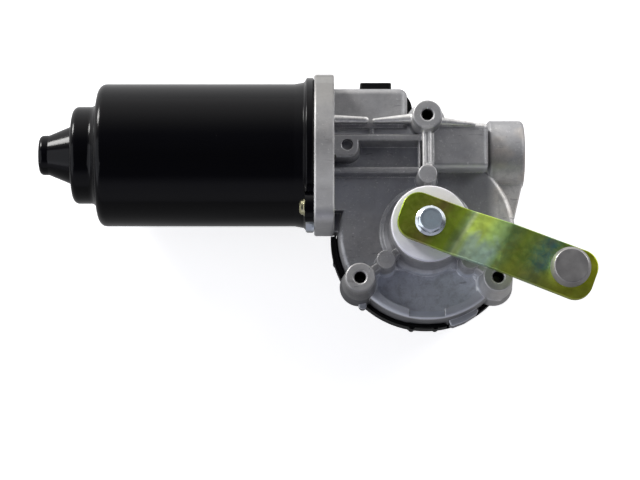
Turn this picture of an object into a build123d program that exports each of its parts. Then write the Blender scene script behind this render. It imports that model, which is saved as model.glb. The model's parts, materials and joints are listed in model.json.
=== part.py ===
from build123d import *
import os
from math import pi, sin, cos, tan, radians, degrees, sqrt, atan2

# Windscreen wiper motor.  Millimetres.
# Frame: +Z is the output shaft, pointing out of the casting's front face.
#        +X runs along the motor axis from the can's nose towards the end tube.
#        +Y points from the output shaft towards the motor axis.
#        Origin: on the output shaft's axis, in the plane of the rear cover's back face.

# ------------------------------------------------------------------ driving dimensions
YM, ZM = 35.6, 35.0          # motor / worm axis (parallel to X)
CAN_R, CAN_T = 30.8, 1.5     # can outer radius and sheet thickness
CAN_X0, CAN_X1 = -141.0, -48.1
DRUM_R, DRUM_X0, DRUM_X1 = 21.0, -152.1, -143.4
NOSE_R, NOSE_X0, NOSE_X1 = 8.6, -166.8, -162.7
CONE_R = 13.0                               # cone where it meets the drum
BEAD_R, BEAD_X0 = 33.5, -51.8
FL_X0, FL_X1, FL_R = -48.1, -39.6, 35.0     # flange plate
FL_BOT, FL_CR = 35.6, 6.5                   # square corner's half height, corner radius
EAR_Y, EAR_O = 27.9, 26.6                    # can screw offsets from motor axis, in Y and in Z
BOX_X1, BOX_Y1, BOX_Z1 = -8.3, 62.0, 50.0   # upper box of the casting
PART_Z = 33.5                               # parting line of box and rear cover
CASE_R, CASE_R0, CASE_Z0, CASE_Z1 = 37.5, 38.3, 26.0, 44.5   # round gear case, front and rear radius (draft)
CAV_R, CAV_Z1 = 33.2, 39.6                  # gear cavity
TUN_R = 7.0                                 # worm tunnel bore
TUBE_R, TUBE_X1 = 14.85, 42.0               # end tube
MOUNT_Z = 62.0                              # plane of the three mounting bosses
MOUNTS = [(-0.3, 47.5), (-28.9, -22.0), (28.5, -21.8)]
PADS = [(-0.3, 22.5), (-18.0, -14.1), (17.1, -14.2)]
MH_R, MH_D = 2.5, (18.0, 16.5, 15.0)        # tapped holes M6, core radius, depth of each
BOSS_R, BOSS_Z1 = 16.3, 63.9                # central boss
SH_R = 5.0                                  # output shaft
BUSH_R = 7.5
# worm gear
MOD, NT, DW = 1.15, 54, 9.1                 # axial module, wheel teeth, worm pitch diameter
PITCH = pi * MOD
WH_Z0, WH_Z1 = 31.0, 39.0                   # wheel rim
LEAD = MOD / DW                             # tangent of the lead angle
# crank arm
ARM_ANG = -20.7
ARM_T = 4.0
ARM_Z0, ARM_Z1 = 67.4, 71.9                 # underside at the hub and at the far end
ARM_S0, ARM_S1, BALL_S = -13.2, 71.5, 60.0
BEND1, BEND2 = 14.0, 33.0
BALL_R, BALL_FLAT = 8.25, 4.5
# rear cover and socket
COV_R, COV_BODY_R = 39.8, 38.4
UP_X0, UP_X1, UP_Y1 = -39.2, -5.5, 65.4
CON_X, CON_Z, CON_Y1, CON_L, CON_W = -21.3, 16.5, 68.5, 32.4, 13.3

os.makedirs("parts", exist_ok=True)
NODES = {}


def save(name, *solids):
    """Keep the solids of one node and write them to one STEP file."""
    out = []
    for s in solids:
        for q in (s.solids() if hasattr(s, "solids") else [s]):
            if q.volume > 0.01:
                out.append(q)
    shape = out[0] if len(out) == 1 else Compound(children=out)
    NODES[name] = shape
    export_step(shape, "parts/" + name + ".step")


def cyl(r, z0, z1, x=0.0, y=0.0):
    return Pos(x, y, (z0 + z1) / 2) * Cylinder(r, z1 - z0)


def cone(r0, r1, z0, z1, x=0.0, y=0.0):
    return Pos(x, y, (z0 + z1) / 2) * Cone(r0, r1, z1 - z0)


def cylx(r, x0, x1, y=YM, z=ZM):
    return Pos((x0 + x1) / 2, y, z) * Rot(0, 90, 0) * Cylinder(r, x1 - x0)


def cyly(r, y0, y1, x=0.0, z=0.0):
    return Pos(x, (y0 + y1) / 2, z) * Rot(90, 0, 0) * Cylinder(r, y1 - y0)


def slab(x0, x1, y0, y1, z0, z1):
    return Pos((x0 + x1) / 2, (y0 + y1) / 2, (z0 + z1) / 2) * Box(x1 - x0, y1 - y0, z1 - z0)


def rface(pts):
    """Closed face from (x, y[, corner radius]) points, with true arcs at the corners."""
    n = len(pts)
    segs, ends = [], []
    for i in range(n):
        p = pts[i]
        r = p[2] if len(p) > 2 else 0.0
        a, b, c = pts[i - 1], p, pts[(i + 1) % n]
        if r <= 0:
            ends.append(((b[0], b[1]), None, (b[0], b[1])))
            continue
        ux, uy = a[0] - b[0], a[1] - b[1]
        vx, vy = c[0] - b[0], c[1] - b[1]
        lu, lv = sqrt(ux * ux + uy * uy), sqrt(vx * vx + vy * vy)
        ux, uy, vx, vy = ux / lu, uy / lu, vx / lv, vy / lv
        cosang = max(-1, min(1, ux * vx + uy * vy))
        half = 0.5 * atan2(sqrt(1 - cosang ** 2), cosang)
        t = min(r / tan(half), 0.49 * lu, 0.49 * lv)
        r = t * tan(half)
        p0 = (b[0] + ux * t, b[1] + uy * t)
        p1 = (b[0] + vx * t, b[1] + vy * t)
        bx, by = ux + vx, uy + vy
        lb = sqrt(bx * bx + by * by)
        d = r / sin(half) - r
        pm = (b[0] + bx / lb * d, b[1] + by / lb * d)
        ends.append((p0, pm, p1))
    for i in range(n):
        p0, pm, p1 = ends[i]
        if pm is not None:
            segs.append(ThreePointArc(p0, pm, p1))
        q0 = ends[(i + 1) % n][0]
        if sqrt((q0[0] - p1[0]) ** 2 + (q0[1] - p1[1]) ** 2) > 1e-6:
            segs.append(Line(p1, q0))
    return Face(Wire(segs))


def prism(pts, z0, z1):
    return Pos(0, 0, z0) * extrude(rface(pts), z1 - z0, dir=(0, 0, 1))


def prismx(pts, x0, x1):
    """Prism along X of a section given as (y, z[, r])."""
    f = Plane(origin=(x0, 0, 0), x_dir=(0, 1, 0), z_dir=(1, 0, 0)) * rface(pts)
    return extrude(f, x1 - x0, dir=(1, 0, 0))


def revx(pts, y=YM, z=ZM):
    """Solid of revolution about the X direction, section given as (x, radius[, r])."""
    return Pos(0, y, z) * revolve(rface(pts), Axis.X, 360)


def revz(pts, x=0.0, y=0.0):
    """Solid of revolution about the Z direction, section given as (radius, z[, r])."""
    f = Plane.XZ * rface(pts)
    return Pos(x, y, 0) * revolve(f, Axis.Z, 360)


def soften(s, edges, r):
    """Fillet, falling back to smaller radii where the geometry doesn't allow it."""
    for k in (1.0, 0.6, 0.35):
        try:
            out = fillet(edges, r * k)
            if out.is_valid and out.volume > 0.5 * s.volume:
                return out
        except Exception:
            pass
    print("not filleted", r)
    return s


def tops(s, z, tol=0.02):
    return [e for e in s.edges() if abs(e.bounding_box().min.Z - z) < tol and abs(e.bounding_box().max.Z - z) < tol]


def at_angle(deg, x=0.0, y=0.0):
    return Pos(x, y, 0) * Rot(0, 0, deg)


# ================================================================== MOTOR
# can: deep-drawn sheet, nose, cone, drum, body, rolled bead at the open end
t = CAN_T
can = revx([
    (NOSE_X0, 0), (NOSE_X0, NOSE_R, 2.0), (NOSE_X1, NOSE_R, 1.0),
    (DRUM_X0, CONE_R, 0.3), (DRUM_X0, DRUM_R, 2.6), (DRUM_X1, DRUM_R, 2.2), (CAN_X0, 23.6, 1.1),
    (CAN_X0, CAN_R, 6.6), (-56.5, CAN_R, 3.0), (-52.6, CAN_R + 0.7, 0.3), (BEAD_X0, BEAD_R - 1.0, 0.0),
    (BEAD_X0 + 0.35, BEAD_R, 1.1), (-48.5, BEAD_R, 1.1), (CAN_X1, BEAD_R - 1.1, 0.0),
    (CAN_X1, CAN_R - t), (CAN_X0 + t, CAN_R - t, 5.1), (CAN_X0 + t, 22.8, 0.5), (DRUM_X1 + 0.7, DRUM_R - t, 0.5),
    (DRUM_X0 + t, DRUM_R - t, 1.2), (DRUM_X0 + t, 12.0, 0.3), (-161.9, NOSE_R - t, 0.5), (NOSE_X0 + t, NOSE_R - t, 0.6),
    (NOSE_X0 + t, 0)])
# two ears, diagonally opposite, that take the can screws
for sgn in (1, -1):
    ey, ez = YM - sgn * EAR_Y, ZM + sgn * EAR_O
    ear = cylx(6.4, -51.95, CAN_X1, ey, ez)
    a = radians(135 if sgn > 0 else -45)
    bar = Pos(-50.0, YM + cos(a) * 33.5, ZM + sin(a) * 33.5) * Rot(degrees(a), 0, 0) * Box(3.8, 8.0, 12.8)
    can = can + ear + bar
    can = can - cylx(2.3, -60, -40, ey, ez)
can = can - cylx(CAN_R - t, -56, -40)
save("motor_can", can)

# field magnets, two arcs, with the two wire springs that spread them
MAG_X0, MAG_X1 = -130.0, -78.0


def arc_piece(r0, r1, x0, x1, a0, a1):
    am = (a0 + a1) / 2
    def P(r, a):
        return (r * cos(radians(a)), r * sin(radians(a)))
    segs = [ThreePointArc(P(r1, a0), P(r1, am), P(r1, a1)), Line(P(r1, a1), P(r0, a1)),
            ThreePointArc(P(r0, a1), P(r0, am), P(r0, a0)), Line(P(r0, a0), P(r1, a0))]
    f = Plane(origin=(x0, YM, ZM), x_dir=(0, 1, 0), z_dir=(1, 0, 0)) * Face(Wire(segs))
    return extrude(f, x1 - x0, dir=(1, 0, 0))


save("field_magnets", arc_piece(22.9, CAN_R - t - 0.02, MAG_X0, MAG_X1, 20, 160),
     arc_piece(22.9, CAN_R - t - 0.02, MAG_X0, MAG_X1, 200, 340))
save("magnet_springs", *[arc_piece(26.6, 27.6, MAG_X0 + 4, MAG_X1 - 4, c - 19.6, c + 19.6) +
                         arc_piece(24.0, 27.6, MAG_X0 + 4, MAG_X1 - 4, c - 19.6, c - 17.6) +
                         arc_piece(24.0, 27.6, MAG_X0 + 4, MAG_X1 - 4, c + 17.6, c + 19.6) for c in (0, 180)])

# nose bush, its star retainer, thrust pad
bush = revx([(-164.2, 4.03), (-164.2, 5.6, 0.3), (-163.2, 7.0, 0.6), (-159.6, 7.05, 0.8), (-157.6, 6.0, 0.3), (-157.6, 4.03)])
save("nose_bush", bush)
save("bush_retainer", revx([(-157.5, 5.6), (-157.5, 8.6), (-156.6, 9.0), (-156.6, 5.6)]))
save("nose_thrust_pad", revx([(-165.25, 0), (-165.25, 5.0), (-164.45, 5.0), (-164.45, 0)]))

# armature shaft with the worm cut on it
HALF = PITCH / 2
W_BL = 0.17                                  # backlash taken from the worm thread, each flank
ro, rr = DW / 2 + 0.88 * MOD, DW / 2 - 1.2 * MOD
TURNS = 7


def worm_section():
    """Section of the single-start thread across its axis: crest arc, two spiral flanks, root arc."""
    def half_w(r):                           # half the thread's axial width at radius r
        return PITCH / 4 - (r - DW / 2) * tan(radians(20)) - W_BL
    def ang(r):
        return 2 * pi * half_w(r) / PITCH
    rs = [rr + (ro - rr) * i / 6 for i in range(7)]
    up = [(r * cos(-ang(r)), r * sin(-ang(r))) for r in rs]
    dn = [(r * cos(ang(r)), r * sin(ang(r))) for r in reversed(rs)]
    segs = [Spline(*up), ThreePointArc(up[-1], (ro, 0), dn[0]), Spline(*dn),
            ThreePointArc(dn[-1], (-rr, 0), up[0])]
    return Face(Wire(segs))


# the thread is centred on X = 0 where it faces the wheel
WX0 = -(0.75 + 3) * PITCH
WL = TURNS * PITCH
sec = worm_section()
worm = Solid.extrude_linear_with_rotation(sec, (0, 0, 0), (0, 0, WL), 360.0 * TURNS)
worm = Pos(WX0, YM, ZM) * Rot(0, 90, 0) * worm
shaft = revx([(-164.2, 0), (-164.2, 3.2, 0.0), (-163.5, 4.0, 0.0), (-150.0, 4.0), (-149.0, 5.0), (-49.6, 5.0), (-49.6, 5.58),
              (-39.0, 5.58), (-38.0, 4.6), (-20.0, 4.6), (-18.0, rr), (WX0 + 0.02, rr), (WX0 + 0.02, 0)])
tail = revx([(WX0 + WL - 0.02, 0), (WX0 + WL - 0.02, rr), (15.0, rr), (16.5, 4.0), (32.2, 4.0), (33.0, 3.2), (33.0, 0)])
shaft = shaft + worm + tail
save("armature_shaft", shaft)

# commutator: plastic core, slotted copper ring, riser
save("commutator_core", revx([(-66.0, 5.0), (-66.0, 7.2), (-54.0, 7.2), (-54.0, 5.0)]))
comm = revx([(-66.0, 7.2), (-66.0, 12.6), (-64.2, 12.6), (-64.2, 11.0), (-54.0, 11.0), (-54.0, 7.2)])
for k in range(12):
    a = radians(30 * k + 15)
    comm = comm - Pos(-60, YM + cos(a) * 12.2, ZM + sin(a) * 12.2) * Rot(degrees(a), 0, 0) * Box(20, 4.4, 0.6)
save("commutator", comm)

# lamination stack with twelve slots
CORE_X0, CORE_X1, CORE_R = -128.0, -80.0, 22.0
core = cylx(CORE_R, CORE_X0, CORE_X1) - cylx(5.0, CORE_X0 - 1, CORE_X1 + 1)
for k in range(12):
    a = 30 * k
    for (rm, w, h) in ((20.8, 2.2, 4.4), (14.9, 5.4, 7.6)):
        c = Pos((CORE_X0 + CORE_X1) / 2, YM, ZM) * Rot(a, 0, 0) * Pos(0, rm, 0) * Box(CORE_X1 - CORE_X0 + 2, h, w)
        core = core - c
save("armature_core", core)
# copper windings: slot fillings and the two wound heads
wind = revx([(-138.0, 6.0, 1.0), (-138.0, 17.0, 4.0), (CORE_X0 - 0.4, 19.6, 2.5), (CORE_X0 - 0.4, 6.0)]) + \
    revx([(CORE_X1 + 0.4, 6.0), (CORE_X1 + 0.4, 19.6, 2.5), (-69.5, 17.0, 4.0), (-69.5, 6.0, 1.0)])
for k in range(12):
    wind = wind + Pos((CORE_X0 + CORE_X1) / 2, YM, ZM) * Rot(30 * k, 0, 0) * Pos(0, 14.9, 0) * Box(CORE_X1 - CORE_X0 + 4, 7.0, 4.8)
save("armature_windings", wind)
save("armature_spacer", revx([(-141.4, 5.0), (-141.4, 8.6), (-138.1, 8.6), (-138.1, 5.0)]))

# ball bearing in the flange
save("bearing_outer_race", revx([(-48.0, 12.15), (-48.0, 13.98, 0.4), (-40.4, 13.98, 0.4), (-40.4, 12.15)]))
save("bearing_inner_race", revx([(-48.0, 5.6), (-48.0, 7.45), (-40.4, 7.45), (-40.4, 5.6)]))
save("bearing_balls", *[Pos(-44.2, YM + 9.8 * cos(radians(40 * k)), ZM + 9.8 * sin(radians(40 * k))) * Sphere(2.3) for k in range(9)])
save("bearing_retainer", revx([(-49.4, 10.2), (-49.4, 17.5), (-48.15, 17.5), (-48.15, 10.2)]))

# brush card with its three guides; brushes slide radially on the commutator
BR = {"low": 0.0, "common": 180.0, "high": 300.0}
card = revx([(-52.6, 13.6), (-52.6, 28.6, 0.6), (-50.6, 28.6, 0.6), (-50.6, 13.6)])
for k in range(3):
    card = card + cylx(2.2, -50.7, -48.2, YM + 24.5 * cos(radians(60 + 120 * k)), ZM + 24.5 * sin(radians(60 + 120 * k)))


def radial(a, r, x=0.0):
    """Place a piece whose local +Y is the radial direction at angle a (from +Y towards +Z)."""
    return Pos(x, YM, ZM) * Rot(a, 0, 0) * Pos(0, r, 0)


BX = -58.6
guides = []
for nm, a in BR.items():
    g = radial(a, 20.8, BX) * Box(8.6, 15.4, 7.4) - radial(a, 20.0, BX) * Box(6.12, 15.0, 5.12)
    guides.append(g)
    card = card + radial(a, 20.8, -53.3) * Box(1.7, 9.0, 9.6) - radial(a, 20.8, BX) * Box(8.7, 15.5, 7.5)
save("brush_card", card)
save("brush_guides", *guides)
for nm, a in BR.items():
    b = radial(a, 15.3, BX) * Box(6.0, 8.4, 5.0) - cylx(11.06, -70, -40)
    save("brush_" + nm, b)
    # coil spring between the brush's tail and the closed end of its guide
    hx = Helix(1.35, 7.2, 1.7)
    sp = Pos(0, 0, 0) * sweep(Plane(hx @ 0, z_dir=hx % 0) * Circle(0.3), path=hx, is_frenet=True)
    sp = radial(a, 19.85, BX) * Rot(-90, 0, 0) * sp
    save("brush_spring_" + nm, sp)

# ================================================================== WORM WHEEL AND SHAFT
def wheel_profile():
    R = NT * MOD / 2
    ra, rf = R + 0.86 * MOD, R - 1.18 * MOD
    rb = R * cos(radians(20))
    def inv(x):
        return tan(x) - x
    def half_ang(r):                         # half a tooth's angle at radius r
        base = pi / (2 * NT) + inv(radians(20))
        if r <= rb:
            return base - 0.0
        al = atan2(sqrt(r * r - rb * rb), rb)
        return base - inv(al)
    thin = 0.05 / R
    rs = [rf, R - 0.5 * MOD, R + 0.1 * MOD, ra]
    pts = []
    for k in range(NT):
        # a gap, not a tooth, faces the worm at 90 degrees
        c = radians(90) + 2 * pi * (k + 0.5) / NT
        for r in rs:
            h = half_ang(r) - thin
            pts.append((r * cos(c - h), r * sin(c - h)))
        for r in reversed(rs):
            h = half_ang(r) - thin
            pts.append((r * cos(c + h), r * sin(c + h)))
    return Face(Wire.make_polygon([Vector(x, y, 0) for x, y in pts], close=True))


WH_H = WH_Z1 - WH_Z0
twist = degrees(LEAD / (NT * MOD / 2) * WH_H)
wheel = Solid.extrude_linear_with_rotation(wheel_profile(), (0, 0, 0), (0, 0, WH_H), twist)
wheel = Pos(0, 0, WH_Z0) * Rot(0, 0, -twist / 2) * wheel
# web, hub and lightening pockets on both faces
ring = cyl(27.5, 35.6, 40, 0, 0) - cyl(12.0, 35, 41)
wheel = wheel - ring - (cyl(12.0, 30, 31.6) - cyl(9.5, 29, 32))
for k in range(8):
    wheel = wheel + at_angle(45 * k) * slab(11.5, 28.0, -0.9, 0.9, 35.4, 38.2)
wheel = wheel + cyl(9.5, 30.6, 39.0)
wheel = wheel - cyl(SH_R, 20, 45)
save("worm_wheel", wheel)

# output shaft: plain journal, ring groove, serrated seat for the arm, tapped end
oshaft = revz([(0, 27.4), (SH_R - 0.6, 27.4), (SH_R, 28.0), (SH_R, 64.35), (SH_R - 0.5, 64.35), (SH_R - 0.5, 65.15), (SH_R, 65.15),
               (SH_R, 66.6), (SH_R - 0.2, 67.0), (SH_R - 0.55, 70.9), (3.1, 70.9), (2.6, 70.3), (2.6, 56.0), (0, 54.6)])
save("output_shaft", oshaft)
save("shaft_clip", (cyl(7.6, 64.4, 65.1) - cyl(SH_R - 0.48, 60, 70)) - slab(-2.0, 2.0, -9, 0, 60, 70))
save("hub_key_plate", (cyl(9.3, 29.6, 30.55) - cyl(SH_R, 20, 40)))

# sintered bushes, seal, thrust washer in the boss
save("output_bush_lower", revz([(SH_R + 0.03, 39.8), (BUSH_R, 39.8, 0.3), (BUSH_R, 48.0, 0.3), (SH_R + 0.03, 48.0)]))
save("output_bush_upper", revz([(SH_R + 0.03, 53.0), (BUSH_R, 53.0, 0.3), (BUSH_R, 60.4, 0.3), (SH_R + 0.03, 60.4)]))
save("shaft_seal", Pos(0, 0, 61.8) * Torus(6.28, 1.18))
save("thrust_washer", cyl(8.4, 39.1, 39.6) - cyl(SH_R + 0.08, 38, 41))

# white shield washer, clamped between the shaft's hub and the arm
wsh = revz([(SH_R + 0.02, 65.4), (15.0, 65.4), (15.0, 64.3), (16.0, 64.3, 0.0), (16.0, 66.4, 0.6), (8.2, 66.4), (8.0, 67.38), (SH_R + 0.02, 67.38)])
save("shaft_washer", wsh)

# ================================================================== CRANK ARM
blank = prism([(ARM_S0, -9.4, 7.2), (ARM_S1, -10.9, 7.2), (ARM_S1, 10.2, 7.2), (ARM_S0, 10.3, 7.0)], 60, 90)
z0, z1, T = ARM_Z0, ARM_Z1, ARM_T
joggle = rface([(ARM_S0 - 5, z0), (BEND1, z0, 5.0), (BEND2, z1, 9.0), (ARM_S1 + 5, z1), (ARM_S1 + 5, z1 + T),
                (BEND2 - 0.4, z1 + T, 5.0), (BEND1 - 0.4, z0 + T, 9.0), (ARM_S0 - 5, z0 + T)])
f = Plane(origin=(0, 20, 0), x_dir=(1, 0, 0), z_dir=(0, -1, 0)) * joggle
strip = extrude(f, 40, dir=(0, -1, 0))
arm = blank & strip
arm = arm - cyl(SH_R - 0.35, 60, 80) - cyl(4.05, 60, 90, BALL_S, 0)
arm = arm - cone(SH_R - 0.15, SH_R - 0.4, 66.9, 71.6)
arm = soften(arm, [e for e in arm.edges() if e.length > 8 and (abs(e.center().Z - (z0 + T)) < 0.3 or abs(e.center().Z - (z1 + T)) < 0.3 or abs(e.center().Z - z0) < 0.3 or abs(e.center().Z - z1) < 0.3)], 0.45)
arm_tf = at_angle(ARM_ANG)
save("crank_arm", arm_tf * arm)

# hexagon flange bolt M6: shank in the shaft's tapped end, conical flange, chamfered head with a shallow round face
AF = 10.0
hexp = extrude(RegularPolygon(AF / 2, 6, major_radius=False), 5.6)
hexp = Rot(0, 0, 26) * hexp
hexp = hexp & revz([(0, 0), (5.77, 0), (5.77, 4.7), (4.5, 5.6), (0, 5.6)])
hexp = hexp - cyl(3.9, 5.42, 6)
hexp = hexp + revz([(0, 0), (6.35, 0, 0.0), (6.35, 0.75, 0.25), (5.3, 1.5), (0, 1.5)])
hb = z0 + T + 0.02
bolt = Pos(0, 0, hb) * hexp + cyl(2.58, 57.0, hb + 0.1)
save("crank_bolt", bolt)

# ball stud, riveted through the arm, its ball on the front
zt = z1 + T
zb = zt + 7.3
ball = Pos(0, 0, zb) * Sphere(BALL_R) & Pos(0, 0, zb - 10 + BALL_FLAT) * Box(30, 30, 20)
stud = ball & Pos(0, 0, zt + 0.02 + 15) * Box(30, 30, 30)
stud = stud + cyl(5.2, zt + 0.02, zb) + cyl(4.0, z1 - 1.2, zt + 0.1)
stud = stud + revz([(0, z1 - 1.6), (3.4, z1 - 1.6), (5.6, z1 - 0.9, 0.3), (5.6, z1 - 0.02), (0, z1 - 0.02)])
stud = soften(stud, [e for e in stud.edges() if e.geom_type == GeomType.CIRCLE and abs(e.center().Z - (zb + BALL_FLAT)) < 0.05], 0.6)
save("ball_stud", arm_tf * Pos(BALL_S, 0, 0) * stud)

# ================================================================== GEAR HOUSING (one casting)
# flange plate: round, with two square corners diagonally opposite
fl = cylx(FL_R, FL_X0, FL_X1)
fl = fl + prismx([(YM - FL_BOT, ZM + 4, 4.0), (YM - FL_BOT, ZM + 34.9, FL_CR), (YM, ZM + 34.9), (YM, ZM + 4)], FL_X0, FL_X1)
fl = fl + prismx([(YM, ZM - 35.0), (YM + 35.0, ZM - 35.0, FL_CR), (YM + 35.0, ZM - 4, 4.0), (YM, ZM - 4)], FL_X0, FL_X1)
fl = soften(fl, [e for e in fl.edges() if abs(e.bounding_box().min.X - e.bounding_box().max.X) < 0.01 and e.length > 4], 0.9)

def bullet(x0, y0, z0_, r0, x1, y1, z1_, r1, zb, cap=True):
    """Round-backed rib tapering from one end to the other, on a foot that runs down to zb."""
    d = Vector(x1 - x0, y1 - y0, z1_ - z0_)
    L = d.length
    pl = Plane(origin=(x0, y0, z0_), z_dir=(d.X, d.Y, d.Z))
    body = pl * Pos(0, 0, L / 2) * Cone(r0, r1, L)
    a = atan2(y1 - y0, x1 - x0)
    nx, ny = -sin(a), cos(a)
    w0, w1 = 0.93 * r0, 0.93 * r1
    foot = prism([(x0 + nx * w0, y0 + ny * w0), (x1 + nx * w1, y1 + ny * w1), (x1 - nx * w1, y1 - ny * w1), (x0 - nx * w0, y0 - ny * w0)], zb, min(z0_, z1_))
    out = body + foot
    if cap:
        out = out + Pos(x1, y1, z1_) * Sphere(r1 * 1.03) + cyl(w1 * 1.02, zb, z1_, x1, y1)
    return out


case = cone(CASE_R0, CASE_R, CASE_Z0, CASE_Z1)
case = soften(case, tops(case, CASE_Z1), 2.2)
left = prism([(FL_X1 - 0.5, 9.6), (-30, 9.6), (-20, 9.6), (-20, 30), (FL_X1 - 0.5, 30)], CASE_Z0, CASE_Z1)
shelf = prism([(FL_X1 - 0.5, 1.9), (-37.3, 1.5), (-30, -4.5), (-20, 12), (FL_X1 - 0.5, 12)], CASE_Z0, 37.5)
tun = slab(FL_X1 - 0.5, 4.0, 24.2, 46.0, CASE_Z0, 44.2)
low_rib = prismx([(24.05, 40), (24.05, 44.4), (25.3, 48.0, 0.9), (27.9, 48.0, 1.0), (28.2, 44), (28.2, 40)], FL_X1 - 0.5, -1.5)
ledge = prismx([(36.8, 40), (37.2, 44.2), (38.5, 52.0, 0.7), (41.15, 52.0, 0.8), (41.7, 47.0), (41.7, 40)], FL_X1 - 0.5, -1.5)
lug_f = rface([(FL_X1 - 0.5, 29.9), (-28.0, 29.9, 5.6), (-28.0, 41.2), (FL_X1 - 0.5, 41.2)])
lug = Pos(0, 0, 43.5) * extrude(lug_f, 8.5, dir=(0, 0, 1), taper=8.5)
lug = lug + slab(FL_X1 - 0.5, -34, 32.2, 41.0, 43.5, 52.0)
lug = soften(lug, [e for e in tops(lug, 52.0) if e.length > 2 and e.center().X > FL_X1 + 0.5], 0.6)
lt = ledge + lug
recess = slab(FL_X1 - 0.5, -3.0, 40.5, 46.8, 34, 47.2)
box = prism([(FL_X1 - 0.5, 44.2), (BOX_X1, 44.2), (BOX_X1, BOX_Y1, 3.4), (FL_X1 - 0.5, BOX_Y1)], PART_Z, BOX_Z1)
box = soften(box, [e for e in tops(box, BOX_Z1) if e.center().Y > 48 and e.center().X > FL_X1 + 0.5], 2.9)
# round-backed ribs that tie the top boss to the flange and to the right-hand box
ribl = bullet(FL_X1 - 0.5, 47.45, 53.4, 1.8, -26.2, 47.15, 52.9, 1.35, 42.0)
ribr = bullet(-4.5, 47.9, 53.6, 2.15, -22.4, 46.9, 52.6, 0.95, 42.0)
col = prism([(-25.0, 41.0), (-22.4, 41.0), (-22.9, 47.0), (-24.4, 47.0)], 44.0, 49.6)
col = soften(col, [e for e in tops(col, 49.6) if e.length > 4], 0.6)
rb = prism([(1.0, 26.1), (25.8, 26.1, 2.0), (25.8, 46.0, 3.9), (21.5, 46.0), (6.0, 48.0), (1.0, 48.2)], CASE_Z0, 54.0)
rb = soften(rb, [e for e in tops(rb, 54.0) if e.center().X > 2], 2.2)
rrib = bullet(2.0, 46.3, 55.0, 2.05, 19.6, 44.9, 54.3, 0.95, 42.0)
tube = revx([(24.0, 0), (24.0, TUBE_R - 1.9), (25.9, TUBE_R - 1.9, 0.3), (27.4, TUBE_R, 1.2), (TUBE_X1, TUBE_R, 1.8), (TUBE_X1, 0)])
web = prism([(22, 24), (41.6, 27), (41.6, 22.9, 1.0), (37.7, 7.0, 1.5), (34.0, 1.0), (22, 10)], 28.0, 40.0)
web = soften(web, [e for e in tops(web, 40.0) if e.center().X > 36], 0.6)

foot = revz([(0, 40.5), (20.2, 40.5), (20.2, 45.1, 0.35), (18.7, 45.5, 0.8), (16.95, 48.2, 1.2), (16.6, 50.0), (0, 50.0)])
boss = revz([(0, 40.5), (18.4, 40.5), (18.4, 41.8, 0.3), (17.1, 44.2, 2.0), (16.7, 50.0), (BOSS_R, BOSS_Z1, 0.8), (0, BOSS_Z1)])
mb = [cone(8.3, 6.1, 34.0, MOUNT_Z, x, y) for x, y in MOUNTS]
mb = [soften(m, tops(m, MOUNT_Z), 0.6) for m in mb]
mb[0] = mb[0] + cone(8.4, 7.2, 46.9, 48.3, *MOUNTS[0])
pads, feet = [], (5.5, 5.0, 5.0)
for (x, y), rf in zip(PADS, feet):
    p = cone(4.6, 4.15, 41.0, 58.0, x, y) + cone(4.15, 3.9, 57.9, 60.0, x, y) + cone(rf, 4.4, 41.0, 46.3, x, y)
    pads.append(soften(p, tops(p, 60.0), 0.35))
spokes = []
for (px, py), (mx, my), zt_, w in zip(PADS, MOUNTS, (57.0, 58.0, 58.0), (3.9, 3.3, 3.3)):
    a = degrees(atan2(my - py, mx - px))
    L = sqrt((mx - px) ** 2 + (my - py) ** 2)
    r = at_angle(a, px, py) * slab(0, L - 4.0, -w / 2, w / 2, 41.0, zt_)
    r = soften(r, [e for e in tops(r, zt_) if e.length > L - 5], 0.9)
    spokes.append(r)
    a2 = degrees(atan2(-py, -px))
    s2 = at_angle(a2, px, py) * slab(0, 7.5, -1.5, 1.5, 41.0, 57.4)
    spokes.append(s2)
# groove in the top spoke, and its foot on both sides
groove = slab(-0.9, 0.3, 27.6, 41.5, 56.5, 58.0)
sfoot = prism([(-3.6, 27.0), (-2.9, 27.0), (-2.9, 41.0), (-3.6, 41.0)], 44.0, 51.0) + slab(1.2, 2.6, 27.0, 41.0, 50.0, 55.2)
lrb = prism([(22.5, -24.0), (25.3, -29.2, 1.5), (30.6, -29.8, 2.0), (33.1, -27.2, 1.5), (34.6, -25.0, 1.0), (35.3, -22.6, 1.0), (36.2, -17.6, 1.0), (30.0, -14.0)], 34.0, 46.0)
lrb = soften(lrb, tops(lrb, 46.0), 1.2)
cl = prism([(9.2, -33.0), (9.2, -36.2), (9.9, -38.8, 0.6), (11.3, -39.2, 0.6), (16.3, -37.3, 4.0), (21.2, -34.2, 0.8), (22.0, -32.4, 0.6), (20.9, -30.5)], 30.0, 36.8)
cl = soften(cl, tops(cl, 36.8), 0.6)
nub = cyl(1.7, 33.7, 38.0, -27.4, -30.4)

housing = fl + case + left + shelf + tun + box + recess + foot
# shallow face pocket between the two lower spokes, with a ramp up to the rim in the middle
pk = rface([(-21.6, -24.5, 0.6), (-21.5, -20.2, 0.8), (-20.4, -18.6, 0.8), (-15.0, -16.0), (15.0, -16.0), (19.0, -18.2, 0.8),
            (20.6, -20.2, 0.8), (21.1, -25.0, 0.6), (12.0, -34.5), (-12.0, -34.5)])
pocket = Pos(0, 0, 41.6) * extrude(pk, 5, dir=(0, 0, 1)) & cyl(33.4, 40, 47)
pocket = pocket + prismx([(-29.0, 41.6), (-33.2, 41.6), (-36.5, 44.6), (-36.5, 46.0), (-29.0, 46.0)], -7.9, 7.3)
housing = housing - (pocket - cyl(18.35, 40, 48))
# flat floor of the long pocket beside the flange
housing = housing - slab(FL_X1 + 0.02, -1.0, 24.4, 39.0, 44.1, 46.0)
housing = housing + low_rib + lt + ribl + ribr + col + rb + rrib + tube + web + boss
for s in mb + pads + spokes + [lrb, cl, nub, sfoot]:
    housing = housing + s
housing = housing - groove

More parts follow.
